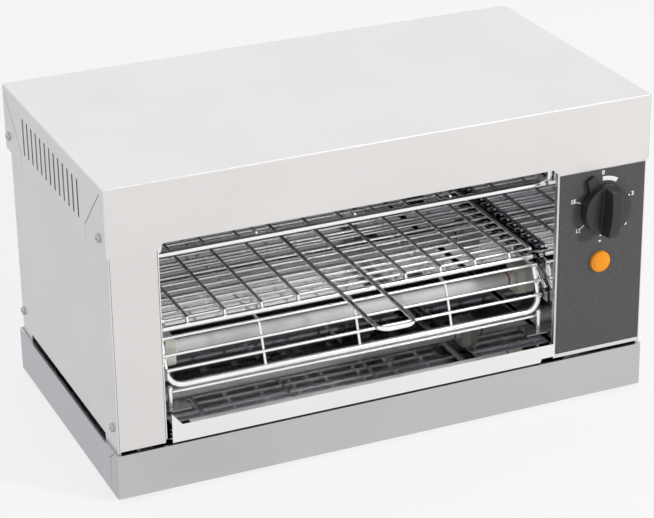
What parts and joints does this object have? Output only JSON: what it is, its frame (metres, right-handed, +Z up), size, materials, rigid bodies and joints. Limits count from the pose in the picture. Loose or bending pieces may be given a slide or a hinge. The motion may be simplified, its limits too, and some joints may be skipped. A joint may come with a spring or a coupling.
{
  "type": "countertop quartz sandwich toaster",
  "caption": "Open-front countertop toaster: quartz heating tubes behind wire guards, a sliding wire rack with a loop handle, a crumb tray, a timer knob and a pilot lamp.",
  "frame": {"origin": "on the table, under the middle of the toaster's bounding box, rack handle included", "axes": "+X to the right, the open front faces -Y, +Z up"},
  "size_m": [0.4444, 0.292, 0.25],
  "materials": {
    "brushed_steel": "satin brushed",
    "bright_steel": "bright rolled",
    "chrome_wire": "polished",
    "panel_film": "fine speckled matt",
    "black_plastic": "semi-gloss",
    "lamp_orange": "clear gloss",
    "quartz": "frosted",
    "resistance_wire": "oxidised",
    "ceramic": "unglazed",
    "zinc_steel": "zinc plated",
    "rubber": "matt"
  },
  "bodies": {
    "machine": {"hood": "brushed_steel", "base_tray": "brushed_steel", "left_side_panel": "brushed_steel", "right_side_panel": "brushed_steel", "rear_panel": "brushed_steel", "front_frame": "brushed_steel", "control_panel": "panel_film", "left_chamber_wall": "bright_steel", "right_chamber_wall": "bright_steel", "chamber_liner": "bright_steel", "tray_shelf": "bright_steel", "left_rack_rail": "bright_steel", "right_rack_rail": "bright_steel", "lower_guard_frame": "chrome_wire", "lower_guard_wires": "chrome_wire", "guard_feet": "chrome_wire", "upper_guard": "chrome_wire", "guard_brackets": "bright_steel", "lower_front_tube": "quartz", "lower_rear_tube": "quartz", "upper_front_tube": "quartz", "upper_rear_tube": "quartz", "heating_coils": "resistance_wire", "left_ceramic_caps": "ceramic", "right_ceramic_caps": "ceramic", "tube_terminals": "zinc_steel", "link_strips": "zinc_steel", "timer_case": "black_plastic", "lamp_lens": "lamp_orange", "lamp_body": "black_plastic", "lamp_clip": "zinc_steel", "cable_gland": "black_plastic", "gland_nut": "black_plastic", "terminal_block": "ceramic", "earth_stud": "zinc_steel", "rubber_feet": "rubber", "foot_screws": "zinc_steel", "hood_screws": "zinc_steel", "panel_screws": "zinc_steel"},
    "wire_rack": {"rack_grid": "chrome_wire", "rack_handle": "chrome_wire"},
    "crumb_drawer": {"crumb_tray": "brushed_steel"},
    "knob": {"timer_knob": "black_plastic", "timer_shaft": "zinc_steel"}
  },
  "joints": [
    {"name": "rack_slide", "type": "slide", "parent": "machine", "child": "wire_rack", "axis": [0, -1, 0], "range_m": [0, 0.13]},
    {"name": "tray_slide", "type": "slide", "parent": "machine", "child": "crumb_drawer", "axis": [0, -1, 0], "range_m": [0, 0.16]},
    {"name": "timer_turn", "type": "hinge", "parent": "machine", "child": "knob", "pos_m": [0.1803, -0.094, 0.164], "axis": [0, 1, 0], "range_deg": [0, 315]}
  ]
}
